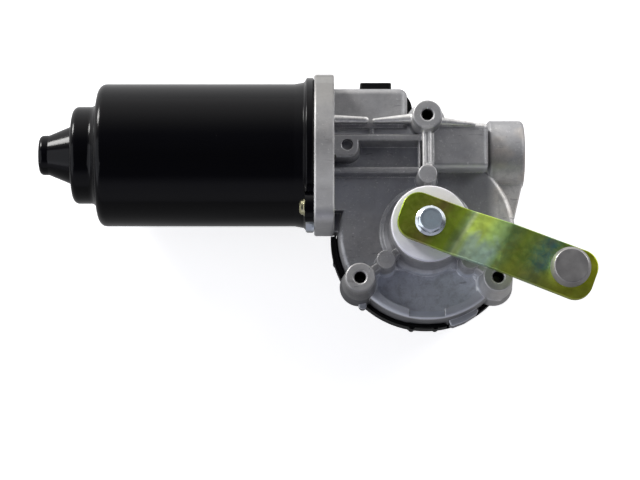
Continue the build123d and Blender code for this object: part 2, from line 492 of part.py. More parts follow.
# inside: gear cavity, boss bore, seal seat, worm tunnel, bearing seat, end tube bore
housing = housing - cyl(CAV_R, 20, CAV_Z1) - cyl(BUSH_R, 39, 61.0) - cyl(BUSH_R + 0.02, 60.4, 64)
housing = housing - cylx(TUN_R, -40.5, 45) - cylx(14.0, -49, -40.3) - cylx(9.0, 35.0, 45)
housing = housing - slab(-37.2, -11.2, 46.6, 59.6, 30, 47.6)
housing = housing - slab(-49, -36.5, 50.0, 58.0, 36.5, 46.5)
# tapped mounting holes with their countersinks, blind core hole in the lug
for (x, y), depth in zip(MOUNTS, MH_D):
    housing = housing - cyl(MH_R, MOUNT_Z - depth, MOUNT_Z + 1, x, y) - cone(MH_R, MH_R + 0.5, MOUNT_Z - 0.45, MOUNT_Z + 0.05, x, y)
housing = housing - cyl(2.45, 48.6, 53, -34.0, 36.7)
# can screw holes, earth screw hole
for sgn in (1, -1):
    housing = housing - cylx(2.1, -50, -39, YM - sgn * EAR_Y, ZM + sgn * EAR_O)
ES_Y, ES_Z = YM - 34.0, ZM + 18.0
housing = housing - cylx(1.25, -49, -42, ES_Y, ES_Z)
# holes that take the cover screws
CS = [(-33.6, 20.2), (33.9, 11.6), (14.4, -32.9)]
for x, y in CS:
    housing = housing - cyl(1.3, 20, 34.5, x, y)
save("gear_housing", housing)

# can screws: pan heads with washers, at the two square corners
scr = []
for sgn in (1, -1):
    y, z = YM - sgn * EAR_Y, ZM + sgn * EAR_O
    s = revx([(-52.5, 0), (-52.5, 3.7, 0.2), (-51.96, 3.7), (-51.96, 2.05), (-40.2, 2.05), (-39.8, 1.6), (-39.8, 0)], y, z) + \
        revx([(-54.2, 0), (-54.2, 2.3), (-53.5, 3.15), (-52.4, 3.25), (-52.4, 0)], y, z)
    s = s - Pos(-54.2, y, z) * Box(1.4, 7.0, 0.9)
    scr.append(s)
save("can_screws", *scr)
# small hexagon screw with a washer head, at the flange's lower edge
hx1 = Pos(-51.6, ES_Y, ES_Z) * Rot(0, 90, 0) * extrude(RegularPolygon(2.5, 6, major_radius=False), 2.6)
es1 = hx1 + cylx(2.75, -49.1, -48.12, ES_Y, ES_Z) + cylx(1.22, -48.2, -43, ES_Y, ES_Z)
save("earth_screw", es1)

# end tube: bush, thrust pad and threaded plug
save("worm_end_bush", revx([(20.0, 4.03), (20.0, 6.98, 0.3), (31.5, 6.98, 0.3), (31.5, 4.03)]))
save("end_thrust_pad", revx([(33.2, 0), (33.2, 5.2), (35.0, 5.2), (35.0, 0)]))
plug = revx([(35.1, 0), (35.1, 8.98), (40.4, 8.98, 0.3), (40.4, 0)]) - Pos(40.2, YM, ZM) * Box(2.4, 10.0, 2.0)
save("tunnel_plug", plug)

# ================================================================== PARK SWITCH
disc = cyl(26.0, 30.25, 30.95) - cyl(13.5, 29, 32)
disc = disc - at_angle(40) * slab(16.8, 20.8, -4.0, 4.0, 29, 32)
save("park_contact_disc", disc)
plate = cyl(30.5, 24.4, 26.0) - cyl(11.0, 20, 30)
plate = plate - slab(5.0, 27.0, -6.0, 6.0, 20, 30)
for k in (80, 200, 320):
    plate = plate + cyl(2.4, 10.6, 24.5, 27.0 * cos(radians(k)), 27.0 * sin(radians(k)))
save("contact_plate", plate)
fing = []
for i, rr_ in enumerate((15.2, 18.8, 23.6)):
    a = 90 + 60 * i + 30
    strip_ = slab(rr_ - 1.3, rr_ + 1.3, -9.0, -5.0, 26.05, 26.6) + \
        Pos(rr_, -2.0, 28.12) * Rot(31.5, 0, 0) * Box(2.6, 7.2, 0.5) + slab(rr_ - 1.3, rr_ + 1.3, 0.9, 2.7, 29.5, 30.15)
    fing.append(at_angle(a) * strip_)
save("park_contact_fingers", *fing)
# chokes and capacitor in the cover's back
save("choke_cores", *[cyly(2.4, 28.0, 44.0, x, 15.0) for x in (-31.0, -11.5)])
save("choke_coils", *[cyly(3.4, 30.0, 42.0, x, 15.0) - cyly(2.42, 20, 50, x, 15.0) for x in (-31.0, -11.5)])
save("suppressor_capacitor", Pos(-21.3, 38.0, 14.0) * Box(9.0, 3.4, 11.0))

# ================================================================== REAR COVER
def up_face(d, y0=10.0):
    """Outline of the cover's upper part, drawn in by d."""
    return [(UP_X0 + d, y0), (UP_X1 - d, y0), (UP_X1 - d, UP_Y1 - d, max(12.7 - d, 0.5)), (UP_X0 + d, UP_Y1 - d, 1.5)]


W = 2.2
cov = cone(36.3, COV_BODY_R, 8.0, 25.15)
cov = soften(cov, tops(cov, 8.0), 2.5)
dome = cyl(24.0, 0.0, 12.0)
dome = soften(dome, tops(dome, 0.0), 2.0)
up = prism(up_face(0.0), 0.0, 25.15)
up = soften(up, [e for e in tops(up, 0.0) if e.center().Y > 12], 1.4)
up2 = prism([(UP_X0, 46.3), (UP_X1, 46.3), (UP_X1, UP_Y1, 12.7), (UP_X0, UP_Y1, 1.5)], 20.0, PART_Z)
cov = cov + dome + up + up2
# hollow
cov = cov - cone(36.45 - W, COV_BODY_R - W, 10.2, 25.2) - cyl(COV_BODY_R - W, 25.1, 30) - cyl(21.8, 2.4, 12) - prism(up_face(W, 12.2), 2.2, 25.2)
cov = cov - prism([(UP_X0 + W, 46.3 - 3), (UP_X1 - W, 46.3 - 3), (UP_X1 - W, UP_Y1 - W, 10.5), (UP_X0 + W, UP_Y1 - W, 0.5)], 20.0, 31.5)
cov = cov + slab(UP_X0 + 1, UP_X1 - 1, 46.3, 48.0, 25.0, PART_Z) - slab(-36.6, -12.0, 48.0, 59.0, 30, 40)
# rim lip that wraps the casting over the visible lower left
lip = cyl(COV_R, 23.6, PART_Z) - cyl(CASE_R0 + 0.3, 25.15, 40) - cyl(COV_BODY_R - 1.0, 10, 30)
lip = soften(lip, tops(lip, 23.6), 0.8)
keep = prism([(0, 0), (-60, 1.2), (-60, -60), (60, -60), (28.5, -26.6)], 10, 60)
lip = lip & keep
cov = cov + lip
# latch block and small bumps on the rim
latch = prism([(-8.0, -36.0), (-8.0, -39.5, 0.6), (5.4, -39.5, 0.6), (5.4, -36.0)], 25.2, 34.8)
latch = latch + cyl(1.5, 25.2, 34.0, -6.3, -38.7) + cyl(1.5, 25.2, 34.0, 3.8, -38.7)
cov = cov + (latch - cyl(CASE_R0 + 0.3, 10, 40))
side = (cyl(41.0, 24.0, 33.0) - cyl(38.6, 20, 40)) & prism([(-34.0, 0.3), (-60.0, 0.3), (-60.0, -30.6), (-34.0, -17.4)], 10, 60)
cov = cov + side + cyl(1.5, 24.5, 32.5, -38.5, -10.7)
# clearance for the casting's end tube and its outer lugs, and for the flange
cov = cov - cylx(TUBE_R + 0.3, 15, 60) - slab(-60, FL_X1 + 0.15, 0.3, 80, -5, 60)
cov = cov - prism([(8.7, -30.0), (8.7, -42.0), (20.0, -42.0), (23.0, -35.0), (22.7, -31.0), (21.6, -29.6), (20.0, -28.0)], 25.16, 60)
cov = cov - cone(8.7, 6.5, 33.7, 62, *MOUNTS[1]) - cone(8.7, 6.5, 33.7, 62, *MOUNTS[2])
cov = cov - prism([(22.0, -29.0), (25.0, -30.2), (31.0, -30.5), (34.0, -27.6), (37.0, -17.0), (22.0, -16.0)], 33.0, 60)
# window for the socket, screw holes
cov = cov - slab(CON_X - 8.5, CON_X + 8.5, 60, 70, 1.2, 31.8)
for i, (x, y) in enumerate(CS):
    cov = cov + (cyl(4.3, (0.0, 8.0, 8.6)[i], 25.15, x, y) & (cyl(COV_BODY_R - 0.4, 8.0, 25.15) + slab(-60, -20, 0, 60, 0, 26))) - cyl(3.1, -1, 12.0, x, y)
for x, y in CS:
    cov = cov - cyl(1.7, 0, 60, x, y)
cov = cov - cylx(TUBE_R + 0.3, 15, 60)
# strengthening ribs across the back dome
for k in range(6):
    cov = cov + (at_angle(60 * k + 30) * slab(23.0, 36.0, -0.8, 0.8, 6.2, 8.4))
cov = cov - cyl(2.6, -1, 4, 0, -14.0)
cov = max(cov.solids(), key=lambda q: q.volume)
save("rear_cover", cov)
save("vent_plug", cyl(2.58, 0.3, 2.45, 0, -14.0) + cyl(3.6, 2.42, 3.6, 0, -14.0))

# gasket between casting and cover, following the round case
gas = (cyl(37.4, 25.2, 25.95) - cyl(33.8, 24, 27)) - slab(-60, 60, 24.0, 60, 20, 30) - cylx(TUBE_R + 0.4, 15, 60)
gas = gas - slab(-60, -33.0, 12, 60, 20, 30)
for x, y in CS:
    gas = gas - cyl(1.75, 20, 30, x, y)
save("cover_gasket", gas)
# cover screws, from the back
cs = []
for i, (x, y) in enumerate(CS):
    hz = 12.0
    cs.append(cyl(2.6, hz - 2.0, hz - 0.02, x, y) + cyl(1.27, hz - 0.5, 34.0, x, y) - Pos(x, y, hz - 2.0) * Box(0.7, 3.6, 1.2))
save("cover_screws", *cs)

# ================================================================== SOCKET
def oval(wx, lz, y0, y1):
    """Oval bar along Y, wx wide in X, lz long in Z."""
    f = Plane(origin=(CON_X, y0, CON_Z), x_dir=(1, 0, 0), z_dir=(0, 1, 0)) * SlotOverall(lz, wx, rotation=90)
    return extrude(f, y1 - y0, dir=(0, 1, 0))


so = oval(CON_W, CON_L, UP_Y1 + 0.02, CON_Y1)
so = soften(so, [e for e in so.edges() if abs(e.center().Y - CON_Y1) < 0.01], 0.4)
skirt = Plane(origin=(CON_X, UP_Y1 + 0.02, CON_Z), x_dir=(1, 0, 0), z_dir=(0, 1, 0)) * RectangleRounded(CON_W + 0.3, CON_L - 0.2, 1.1)
skirt = extrude(skirt, 68.6 - UP_Y1, dir=(0, 1, 0))
so = so + soften(skirt, [e for e in skirt.edges() if abs(e.center().Y - 68.62) < 0.05], 0.3)
so = so + slab(CON_X - 8.4, CON_X + 8.4, 63.3, UP_Y1 - 0.02, 1.3, 31.7) + oval(CON_W, 28.0, 53.6, UP_Y1 + 0.1)
so = so - oval(11.0, 30.2, UP_Y1 + 0.1, 75) - oval(11.0, 25.6, 55.4, 68)
# inner frame round the blades, and the nib on one side
so = so + (slab(CON_X - 1.9, CON_X + 1.9, 54.5, 61.6, CON_Z - 11.4, CON_Z + 9.2) - slab(CON_X - 1.2, CON_X + 1.2, 55.4, 70, CON_Z - 10.6, CON_Z + 8.6))
so = so + slab(CON_X - CON_W / 2 - 1.1, CON_X - CON_W / 2 + 0.3, UP_Y1 + 0.02, 67.6, CON_Z - 0.6, CON_Z + 1.1)
BZ = [CON_Z + d for d in (-7.9, -3.9, 0.0, 3.9, 7.2)]
for z in BZ:
    so = so - slab(CON_X - 0.41, CON_X + 0.41, 50, 60, z - 1.01, z + 1.01)
save("connector_socket", so)
save("connector_terminals", *[slab(CON_X - 0.4, CON_X + 0.4, 47.6, 62.9, z - 1.0, z + 1.0) for z in BZ])
# leads from the brush card through the flange
save("motor_leads", *[cylx(0.9, -50.55, -33.0, 54.0, z) for z in (38.6, 41.4, 44.2)])

print("nodes", len(NODES))
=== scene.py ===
import json
import math
import random

import bmesh
import bpy
from mathutils import Matrix, Vector, noise as mnoise


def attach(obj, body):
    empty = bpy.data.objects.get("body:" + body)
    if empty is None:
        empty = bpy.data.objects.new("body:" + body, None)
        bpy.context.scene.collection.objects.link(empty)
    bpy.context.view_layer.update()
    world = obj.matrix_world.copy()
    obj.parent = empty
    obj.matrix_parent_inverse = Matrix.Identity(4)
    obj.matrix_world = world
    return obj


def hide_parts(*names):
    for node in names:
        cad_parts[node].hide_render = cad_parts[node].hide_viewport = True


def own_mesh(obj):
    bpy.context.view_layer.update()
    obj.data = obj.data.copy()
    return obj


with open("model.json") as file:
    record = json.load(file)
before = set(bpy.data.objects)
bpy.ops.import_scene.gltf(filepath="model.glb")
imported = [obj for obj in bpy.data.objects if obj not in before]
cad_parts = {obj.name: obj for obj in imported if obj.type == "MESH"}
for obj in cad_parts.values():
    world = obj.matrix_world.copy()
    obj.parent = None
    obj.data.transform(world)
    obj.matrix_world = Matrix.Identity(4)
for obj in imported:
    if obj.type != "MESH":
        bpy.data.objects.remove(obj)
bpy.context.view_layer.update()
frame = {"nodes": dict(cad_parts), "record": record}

MM = 0.001
NODES = frame["nodes"]
C = bpy.context


# ------------------------------------------------------------------ camera
EL = math.radians(80.0)
TARGET = Vector((-0.0456, -0.0015, 0.0345))
cam_data = bpy.data.cameras.new("camera")
cam_data.lens = 117.7
cam_data.sensor_width = 36.0
cam_data.clip_start = 0.01
cam_data.clip_end = 50.0
cam = bpy.data.objects.new("camera", cam_data)
C.scene.collection.objects.link(cam)
cam.location = TARGET + 0.9 * Vector((0.0, -math.cos(EL), math.sin(EL)))
cam.rotation_euler = (TARGET - cam.location).to_track_quat("-Z", "Y").to_euler()
C.scene.camera = cam
C.scene.view_settings.view_transform = "Standard"
C.scene.view_settings.look = "None"


# ------------------------------------------------------------------ node helpers
class Mat:
    """A material with one Principled shader, whose textures are read in the object's own space, in metres."""

    def __init__(self, name, colour, rough, metal=0.0, **sockets):
        self.m = bpy.data.materials.new(name)
        self.m.use_nodes = True
        self.t = self.m.node_tree
        self.b = next(n for n in self.t.nodes if n.type == "BSDF_PRINCIPLED")
        self.co = self.t.nodes.new("ShaderNodeTexCoord").outputs["Object"]
        self.b.inputs["Base Color"].default_value = (*colour, 1.0)
        self.b.inputs["Roughness"].default_value = rough
        self.b.inputs["Metallic"].default_value = metal
        for k, v in sockets.items():
            self.b.inputs[k.replace("_", " ")].default_value = v

    def put(self, socket, value):
        if isinstance(value, bpy.types.NodeSocket):
            self.t.links.new(value, socket)
        elif isinstance(value, (tuple, list)):
            socket.default_value = (*value, 1.0) if len(value) == 3 and len(socket.default_value) == 4 else value
        else:
            socket.default_value = value

    def new(self, kind, **inputs):
        n = self.t.nodes.new(kind)
        for k, v in inputs.items():
            self.put(n.inputs[k.replace("_", " ")], v)
        return n

    def map(self, scale=(1, 1, 1), rot=(0, 0, 0), loc=(0, 0, 0), vec=None, kind="POINT"):
        n = self.t.nodes.new("ShaderNodeMapping")
        n.vector_type = kind
        self.put(n.inputs["Vector"], vec or self.co)
        n.inputs["Scale"].default_value = scale
        n.inputs["Rotation"].default_value = rot
        n.inputs["Location"].default_value = loc
        return n.outputs["Vector"]

    def noise(self, scale, detail=3.0, rough=0.5, dist=0.0, vec=None):
        n = self.new("ShaderNodeTexNoise", Vector=vec or self.co, Scale=scale, Detail=detail, Roughness=rough, Distortion=dist)
        return n.outputs["Fac"]

    def voronoi(self, scale, feature="F1", vec=None, rand=1.0):
        n = self.t.nodes.new("ShaderNodeTexVoronoi")
        n.feature = feature
        self.put(n.inputs["Vector"], vec or self.co)
        n.inputs["Scale"].default_value = scale
        n.inputs["Randomness"].default_value = rand
        return n

    def ramp(self, fac, stops, interp="LINEAR"):
        n = self.t.nodes.new("ShaderNodeValToRGB")
        n.color_ramp.interpolation = interp
        e = n.color_ramp.elements
        while len(e) < len(stops):
            e.new(0.5)
        for k, (p, c) in zip(e, stops):
            k.position = p
            c = (c, c, c) if isinstance(c, (int, float)) else c
            k.color = (*c, 1.0)
        self.put(n.inputs["Fac"], fac)
        return n.outputs["Color"]

    def range(self, v, a, b, c=0.0, d=1.0, smooth=False):
        n = self.t.nodes.new("ShaderNodeMapRange")
        n.interpolation_type = "SMOOTHSTEP" if smooth else "LINEAR"
        n.clamp = True
        for k, x in (("Value", v), ("From Min", a), ("From Max", b), ("To Min", c), ("To Max", d)):
            self.put(n.inputs[k], x)
        return n.outputs["Result"]

    def mix(self, fac, a, b, mode="MIX"):
        n = self.t.nodes.new("ShaderNodeMix")
        n.data_type = "RGBA"
        n.blend_type = mode
        n.clamp_result = True
        self.put(n.inputs[0], fac)
        self.put(n.inputs[6], a)
        self.put(n.inputs[7], b)
        return n.outputs[2]

    def calc(self, op, a, b=0.0, c=None):
        n = self.t.nodes.new("ShaderNodeMath")
        n.operation = op
        self.put(n.inputs[0], a)
        self.put(n.inputs[1], b)
        if c is not None:
            self.put(n.inputs[2], c)
        return n.outputs[0]

    def xyz(self, vec=None):
        n = self.t.nodes.new("ShaderNodeSeparateXYZ")
        self.put(n.inputs[0], vec or self.co)
        return n.outputs

    def edges(self, radius, low=0.01, high=0.18):
        """0 on open faces, 1 on sharp edges, from how far a rounded normal leaves the face's own."""
        bv = self.t.nodes.new("ShaderNodeBevel")
        bv.samples = 4
        bv.inputs["Radius"].default_value = radius
        g = self.t.nodes.new("ShaderNodeNewGeometry")
        d = self.t.nodes.new("ShaderNodeVectorMath")
        d.operation = "DOT_PRODUCT"
        self.put(d.inputs[0], bv.outputs["Normal"])
        self.put(d.inputs[1], g.outputs["Normal"])
        return self.range(self.calc("SUBTRACT", 1.0, d.outputs["Value"]), low, high)

    def up(self):
        """How far the surface faces up out of the part: 1 on the faces that look along +Z."""
        g = self.t.nodes.new("ShaderNodeNewGeometry")
        return self.xyz(g.outputs["Normal"])[2]

    def bump(self, height, strength, distance, below=None):
        n = self.t.nodes.new("ShaderNodeBump")
        n.inputs["Strength"].default_value = strength
        n.inputs["Distance"].default_value = distance
        self.put(n.inputs["Height"], height)
        if below is not None:
            self.put(n.inputs["Normal"], below)
        return n.outputs["Normal"]

    def done(self, colour=None, rough=None, normal=None, **more):
        if colour is not None:
            self.put(self.b.inputs["Base Color"], colour)
        if rough is not None:
            self.put(self.b.inputs["Roughness"], rough)
        if normal is not None:
            self.put(self.b.inputs["Normal"], normal)
        for k, v in more.items():
            self.put(self.b.inputs[k.replace("_", " ")], v)
        return self.m


# ------------------------------------------------------------------ materials
def black_paint():
    """Stoved gloss black on drawn sheet steel: near mirror, a slight orange peel, a few nicks and dust."""
    k = Mat("black_paint", (0.0022, 0.0022, 0.0030), 0.16, 0.0, IOR=1.5, Specular_IOR_Level=0.155)
    peel = k.noise(700, 2.0, 0.5)
    long = k.noise(40, 2.0, 0.5)
    dust = k.range(k.noise(2600, 2.0, 0.6), 0.70, 0.78)
    nick = k.voronoi(190)
    nicks = k.range(nick.outputs["Distance"], 0.035, 0.06, 1.0, 0.0)
    few = k.range(k.noise(23, 1.0), 0.60, 0.63)
    nicks = k.calc("MULTIPLY", nicks, few)
    col = k.mix(k.calc("MULTIPLY", dust, 0.2), (0.0022, 0.0022, 0.0030), (0.045, 0.045, 0.048))
    col = k.mix(nicks, col, (0.0015, 0.0015, 0.002))
    rough = k.calc("ADD", k.range(long, 0.3, 0.7, 0.13, 0.19), k.calc("MULTIPLY", nicks, 0.4))
    n = k.bump(peel, 0.06, 0.0002)
    n = k.bump(nicks, -0.6, 0.0002, n)
    return k.done(col, rough, n)


def cast_alloy():
    """Die-cast aluminium left as cast: fine grain, cloudy grey with cooler and warmer patches, flow marks, edges
    lightened partly as wear and partly as painted highlight, and painted light and shade set by place and facing.
    """
    k = Mat("cast_alloy", (0.42, 0.42, 0.43), 0.5, 0.8)
    x, y, z = k.xyz()
    cloud = k.noise(42, 4.0, 0.55, 0.4)
    patch = k.noise(120, 3.0, 0.6, 0.8)
    grain = k.noise(1500, 3.0, 0.6)
    fine = k.noise(4200, 2.0, 0.5)
    col = k.ramp(cloud, [(0.30, (0.365, 0.367, 0.387)), (0.48, (0.475, 0.473, 0.475)), (0.68, (0.57, 0.56, 0.55))])
    col = k.mix(k.range(patch, 0.35, 0.7, 0.0, 0.42), col, (0.34, 0.343, 0.362))
    # painted shade: the long pocket and the gear case are darkened to a bluish grey, more towards the top and the left;
    # further down the raised ribs get a painted highlight
    deep = k.range(z, 0.0505, 0.0445, 0.0, 1.0, True)
    upper = k.range(y, -0.006, 0.016, 0.0, 1.0, True)
    left = k.range(x, 0.012, -0.012, 0.50, 1.0, True)
    col = k.mix(k.calc("MULTIPLY", k.calc("MULTIPLY", deep, upper), k.calc("MULTIPLY", left, k.range(y, 0.0245, 0.0205, 0.40, 0.66, True))), col, (0.27, 0.285, 0.335))
    # painted light: the floor of the lower pocket, near the rim, is brightened to a pale blue-white
    low = k.calc("MULTIPLY", deep, k.range(y, -0.010, -0.020, 0.0, 1.0, True))
    r = k.calc("SQRT", k.calc("ADD", k.calc("MULTIPLY", x, x), k.calc("MULTIPLY", y, y)))
    low = k.calc("MULTIPLY", low, k.range(r, 0.0350, 0.0330, 0.25, 1.0))
    col = k.mix(k.calc("MULTIPLY", low, 0.95), col, (0.90, 0.94, 1.0))
    # painted shade: the lower left boss is darkened, most towards its base
    grey = k.calc("MULTIPLY", k.range(x, -0.016, -0.024, 0.0, 1.0, True), k.range(y, -0.012, -0.020, 0.0, 1.0, True))
    grey = k.calc("MULTIPLY", grey, k.range(z, 0.0605, 0.0560, 0.25, 1.0))
    col = k.mix(k.calc("MULTIPLY", k.calc("MULTIPLY", grey, k.range(r, 0.0320, 0.0345)), 0.72), col, (0.17, 0.17, 0.17))
    # painted highlight: the raised rib tops and the spoke bar between them are lightened towards white
    painted_highlight_crest = k.calc("MULTIPLY", k.range(z, 0.0512, 0.0530, 0.0, 1.0, True), k.range(z, 0.0585, 0.0575, 0.0, 1.0, True))
    painted_highlight_crest = k.calc("MULTIPLY", painted_highlight_crest, k.range(y, 0.0430, 0.0450, 0.0, 1.0, True))
    painted_highlight_spoke = k.calc("MULTIPLY", k.range(z, 0.0535, 0.0555), k.range(k.calc("ABSOLUTE", k.calc("ADD", x, 0.0004)), 0.0030, 0.0022))
    painted_highlight_spoke = k.calc("MULTIPLY", painted_highlight_spoke, k.calc("MULTIPLY", k.range(y, 0.0250, 0.0262), k.range(y, 0.0430, 0.0415)))
    painted_highlight_crest = k.calc("MAXIMUM", painted_highlight_crest, painted_highlight_spoke)
    col = k.mix(k.calc("MULTIPLY", painted_highlight_crest, 0.85), col, (0.97, 0.96, 0.94))
    # painted light: the end of the worm tube and the web below it are lightened, more towards the bottom
    painted_light_tube = k.calc("MULTIPLY", k.range(x, 0.0255, 0.0300), k.range(y, 0.032, 0.021, 0.14, 0.85, True))
    col = k.mix(painted_light_tube, col, (0.90, 0.88, 0.84))
    film = k.range(k.noise(75, 2.0, 0.5, 0.5), 0.50, 0.68, 0.0, 0.30)
    col = k.mix(k.calc("MULTIPLY", film, k.range(x, 0.0255, 0.0290)), col, (0.72, 0.60, 0.47))
    col = k.mix(k.range(grain, 0.25, 0.75, 0.20, 0.0), col, (0.22, 0.22, 0.235))
    mottle = k.noise(310, 4.0, 0.65, 0.3)
    col = k.mix(k.range(mottle, 0.46, 0.66, 0.0, 0.32), col, (0.28, 0.28, 0.285))
    # light specks of broken grain, which also stand in as painted glints, and short dark drag marks from the die
    grain_specks_and_painted_glints = k.calc("MULTIPLY", k.range(k.noise(1050, 2.0, 0.65), 0.60, 0.70), k.range(k.noise(170, 2.0, 0.5, 0.3), 0.42, 0.60))
    col = k.mix(k.calc("MULTIPLY", grain_specks_and_painted_glints, 0.45), col, (0.88, 0.875, 0.86))
    drag = k.noise(520, 2.0, 0.55, 0.4, k.map(scale=(0.35, 1.6, 0.6)))
    drag = k.calc("MULTIPLY", k.range(drag, 0.62, 0.68), k.range(k.noise(58, 2.0, 0.5), 0.50, 0.60))
    col = k.mix(k.calc("MULTIPLY", drag, 0.45), col, (0.13, 0.13, 0.135))
    # painted shade: the motor flange is darkened, most towards its top
    flange = k.calc("MULTIPLY", k.range(x, -0.0394, -0.0398), k.calc("SUBTRACT", k.range(y, 0.040, 0.060, 0.28, 0.85, True), k.range(y, 0.030, 0.014, 0.0, 0.28, True)))
    col = k.mix(flange, col, (0.26, 0.255, 0.245))
    # painted light: the lower part of the motor flange is lightened
    painted_light_flange_low = k.calc("MULTIPLY", k.range(x, -0.0394, -0.0398), k.range(y, 0.032, 0.020, 0.0, 0.42, True))
    col = k.mix(painted_light_flange_low, col, (0.76, 0.76, 0.755))
    shade = k.calc("MULTIPLY", k.range(z, 0.0505, 0.0485), k.calc("MULTIPLY", k.range(x, 0.008, 0.016, 0.0, 1.0, True), k.range(y, -0.012, -0.004, 0.0, 1.0, True)))
    col = k.mix(k.calc("MULTIPLY", shade, k.range(x, 0.0300, 0.0255, 0.0, 0.38)), col, (0.24, 0.24, 0.245))
    # painted shade: recesses are darkened from an ambient occlusion reading, weaker towards the bottom
    ao = k.t.nodes.new("ShaderNodeAmbientOcclusion")
    ao.samples = 8
    ao.inputs["Distance"].default_value = 0.007
    painted_occlusion_shade = k.range(ao.outputs["AO"], 0.30, 0.72, 0.13, 0.0, True)
    # painted light: the sill under the upper left rib is lightened, and the painted occlusion shade is mostly lifted
    # there
    painted_light_sill = k.calc("MULTIPLY", k.range(z, 0.0460, 0.0469), k.range(z, 0.0482, 0.0476))
    painted_light_sill = k.calc("MULTIPLY", painted_light_sill, k.calc("MULTIPLY", k.range(y, 0.0404, 0.0414), k.range(x, -0.0025, -0.0035)))
    painted_occlusion_shade = k.calc("MULTIPLY", painted_occlusion_shade, k.range(painted_light_sill, 0.0, 1.0, 1.0, 0.1))
    col = k.mix(k.calc("MULTIPLY", painted_light_sill, 0.9), col, (0.95, 0.95, 0.95))
    col = k.mix(k.calc("MULTIPLY", painted_occlusion_shade, k.range(y, -0.012, 0.002, 0.35, 1.0)), col, (0.10, 0.10, 0.115))
    # painted light: walls facing towards -Y in the middle of the gear case are lightened by their facing
    ny = k.t.nodes.new("ShaderNodeSeparateXYZ")
    k.t.links.new(k.t.nodes.new("ShaderNodeNewGeometry").outputs["Normal"], ny.inputs[0])
    painted_light_minus_y_faces = k.range(ny.outputs["Y"], -0.15, -0.65, 0.0, 0.85, True)
    side = k.calc("MULTIPLY", k.range(x, -0.002, 0.002), k.range(x, 0.0285, 0.0270))
    side = k.calc("MULTIPLY", side, k.calc("MULTIPLY", k.range(y, 0.0, 0.003), k.range(y, 0.030, 0.026)))
    col = k.mix(k.calc("MULTIPLY", painted_light_minus_y_faces, side), col, (0.98, 0.985, 1.0))
    # painted light and shade on the gear case's lower rim: its sloped top is lightened and its steep wall below is
    # darkened, by their facing
    rim_painted_light_and_shade = k.calc("MULTIPLY", k.range(z, 0.0455, 0.0447), k.range(y, -0.014, -0.024, 0.0, 1.0, True))
    rim_painted_light_and_shade = k.calc("MULTIPLY", rim_painted_light_and_shade, k.range(r, 0.0325, 0.0340))
    col = k.mix(k.calc("MULTIPLY", rim_painted_light_and_shade, k.range(ny.outputs["Z"], 0.45, 0.70, 0.0, 0.80)), col, (0.80, 0.83, 0.88))
    col = k.mix(k.calc("MULTIPLY", rim_painted_light_and_shade, k.range(ny.outputs["Z"], 0.60, 0.25, 0.0, 0.60)), col, (0.10, 0.10, 0.108))
    # painted light: the lower right of the gear case is lightened
    right = k.calc("MULTIPLY", k.range(x, 0.016, 0.021), k.range(y, -0.012, -0.018))
    col = k.mix(k.calc("MULTIPLY", right, 0.32), col, (0.86, 0.86, 0.84))
    # edges lightened, partly as wear and partly as painted highlight
    edge = k.edges(0.0007)
    wear_and_painted_edge_highlight = k.calc("MULTIPLY", edge, k.range(k.noise(260, 3.0, 0.6), 0.35, 0.6, 0.25, 0.95))
    col = k.mix(wear_and_painted_edge_highlight, col, (0.95, 0.945, 0.93))
    pit = k.voronoi(330)
    pits = k.range(pit.outputs["Distance"], 0.03, 0.07, 1.0, 0.0)
    pits = k.calc("MULTIPLY", pits, k.range(k.noise(60, 1.0), 0.56, 0.62))
    col = k.mix(pits, col, (0.06, 0.06, 0.065))
    rough = k.calc("SUBTRACT", k.range(patch, 0.3, 0.7, 0.46, 0.60), k.calc("MULTIPLY", wear_and_painted_edge_highlight, 0.15))
    rough = k.calc("SUBTRACT", rough, k.calc("MULTIPLY", painted_highlight_crest, 0.12))
    bv = k.t.nodes.new("ShaderNodeBevel")
    bv.samples = 6
    bv.inputs["Radius"].default_value = 0.0006
    n = k.bump(grain, 0.22, 0.00012, bv.outputs["Normal"])
    n = k.bump(fine, 0.10, 0.00005, n)
    n = k.bump(k.noise(240, 3.0, 0.6), 0.14, 0.0004, n)
    n = k.bump(pits, -0.5, 0.0002, n)
    return k.done(col, rough, n)


